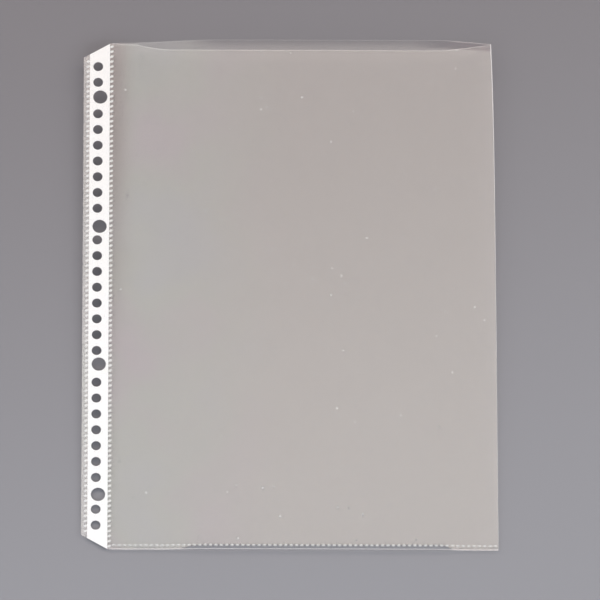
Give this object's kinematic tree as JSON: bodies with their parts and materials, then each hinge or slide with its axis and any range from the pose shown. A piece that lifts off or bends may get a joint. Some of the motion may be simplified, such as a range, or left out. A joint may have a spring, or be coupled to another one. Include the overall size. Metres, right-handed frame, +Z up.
{
  "type": "sheet protector",
  "caption": "Clear film pocket page for a ring binder, with a punched white reinforcing strip, welded side and bottom and an open mouth.",
  "frame": {"origin": "below the middle of the page, level with the lowest point of the rear film at the mouth", "axes": "+X from the binding edge to the fold, +Y from the hem to the mouth, +Z up through the front film"},
  "size_m": [0.233, 0.304, 0.0158],
  "materials": {
    "white_strip": "opaque white polypropylene, satin",
    "clear_film": "clear cast polypropylene, glossy, faint haze",
    "weld_bead": "fused polypropylene, frosted"
  },
  "bodies": {
    "binding_edge": {"reinforcing_strip": "white_strip", "binding_film_front": "clear_film", "binding_film_rear": "clear_film", "outer_weld": "weld_bead", "inner_weld": "weld_bead"},
    "pocket": {"rear_film": "clear_film", "bottom_hem": "clear_film", "side_fold": "clear_film", "bottom_weld": "weld_bead"},
    "front_panel": {"front_film": "clear_film"}
  },
  "joints": [
    {"name": "page_turn", "type": "hinge", "parent": "binding_edge", "child": "pocket", "pos_m": [-0.0994, 0, 0.00915], "axis": [0, -1, 0], "range_deg": [0, 90]},
    {"name": "mouth_open", "type": "hinge", "parent": "pocket", "child": "front_panel", "pos_m": [0.0085, -0.14685, 0.00925], "axis": [1, 0, 0], "range_deg": [0, 4]}
  ]
}
